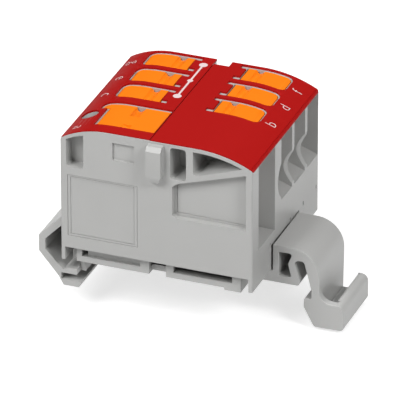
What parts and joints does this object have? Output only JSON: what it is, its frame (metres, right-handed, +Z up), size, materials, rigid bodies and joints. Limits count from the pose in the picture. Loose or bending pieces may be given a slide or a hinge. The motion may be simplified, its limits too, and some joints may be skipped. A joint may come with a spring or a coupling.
{
  "type": "power distribution block",
  "caption": "Rail-mounted power distribution block: grey arched case, red covers, orange push buttons over spring clamps, clip-on foot with sprung latch.",
  "frame": {"origin": "middle of the foot's seating plane, midway between the two flanges that it grips and midway along the case's depth", "axes": "+Z up, away from the rail; +Y along the rail, from the face with the coupling pin to the face with the notch; +X across the rail, towards the latch"},
  "size_m": [0.0434, 0.0283, 0.0299],
  "materials": {
    "case_grey": "moulded polyamide, light grey, satin",
    "foot_grey": "moulded polyamide, light grey, satin",
    "tray_grey": "moulded polyamide, grey",
    "cover_red": "moulded, signal red, satin",
    "button_orange": "moulded, orange, satin",
    "tinned_copper": "tin-plated copper, satin",
    "spring_steel": "stainless spring steel, bright"
  },
  "bodies": {
    "block": {"case": "case_grey", "cover_left": "cover_red", "cover_right": "cover_red", "busbar": "tinned_copper", "contact_tray": "tray_grey", "foot": "foot_grey", "spring_a": "spring_steel", "spring_b": "spring_steel", "spring_c": "spring_steel", "spring_d": "spring_steel", "spring_e": "spring_steel", "spring_f": "spring_steel", "spring_g": "spring_steel"},
    "latch_arm": {"latch": "foot_grey"},
    "push_a": {"button_a": "button_orange"},
    "push_b": {"button_b": "button_orange"},
    "push_c": {"button_c": "button_orange"},
    "push_d": {"button_d": "button_orange"},
    "push_e": {"button_e": "button_orange"},
    "push_f": {"button_f": "button_orange"},
    "push_g": {"button_g": "button_orange"}
  },
  "joints": [
    {"name": "press_a", "type": "slide", "parent": "block", "child": "push_a", "axis": [0, 0, -1], "range_m": [0, 0.0015], "stiffness_N_per_m": 2500, "springref_m": -0.001, "deforming": ["spring_a"]},
    {"name": "press_b", "type": "slide", "parent": "block", "child": "push_b", "axis": [0, 0, -1], "range_m": [0, 0.0015], "stiffness_N_per_m": 1500, "springref_m": -0.001, "deforming": ["spring_b"]},
    {"name": "press_c", "type": "slide", "parent": "block", "child": "push_c", "axis": [0, 0, -1], "range_m": [0, 0.0015], "stiffness_N_per_m": 1500, "springref_m": -0.001, "deforming": ["spring_c"]},
    {"name": "press_d", "type": "slide", "parent": "block", "child": "push_d", "axis": [0, 0, -1], "range_m": [0, 0.0015], "stiffness_N_per_m": 1500, "springref_m": -0.001, "deforming": ["spring_d"]},
    {"name": "press_e", "type": "slide", "parent": "block", "child": "push_e", "axis": [0, 0, -1], "range_m": [0, 0.0015], "stiffness_N_per_m": 1500, "springref_m": -0.001, "deforming": ["spring_e"]},
    {"name": "press_f", "type": "slide", "parent": "block", "child": "push_f", "axis": [0, 0, -1], "range_m": [0, 0.0015], "stiffness_N_per_m": 1500, "springref_m": -0.001, "deforming": ["spring_f"]},
    {"name": "press_g", "type": "slide", "parent": "block", "child": "push_g", "axis": [0, 0, -1], "range_m": [0, 0.0015], "stiffness_N_per_m": 1500, "springref_m": -0.001, "deforming": ["spring_g"]},
    {"name": "latch_flex", "type": "hinge", "parent": "block", "child": "latch_arm", "pos_m": [0.0155, 0.00045, 0.0054], "axis": [0, -1, 0], "range_deg": [0, 12], "stiffness_Nm_per_rad": 0.2, "springref_deg": -2.86}
  ]
}
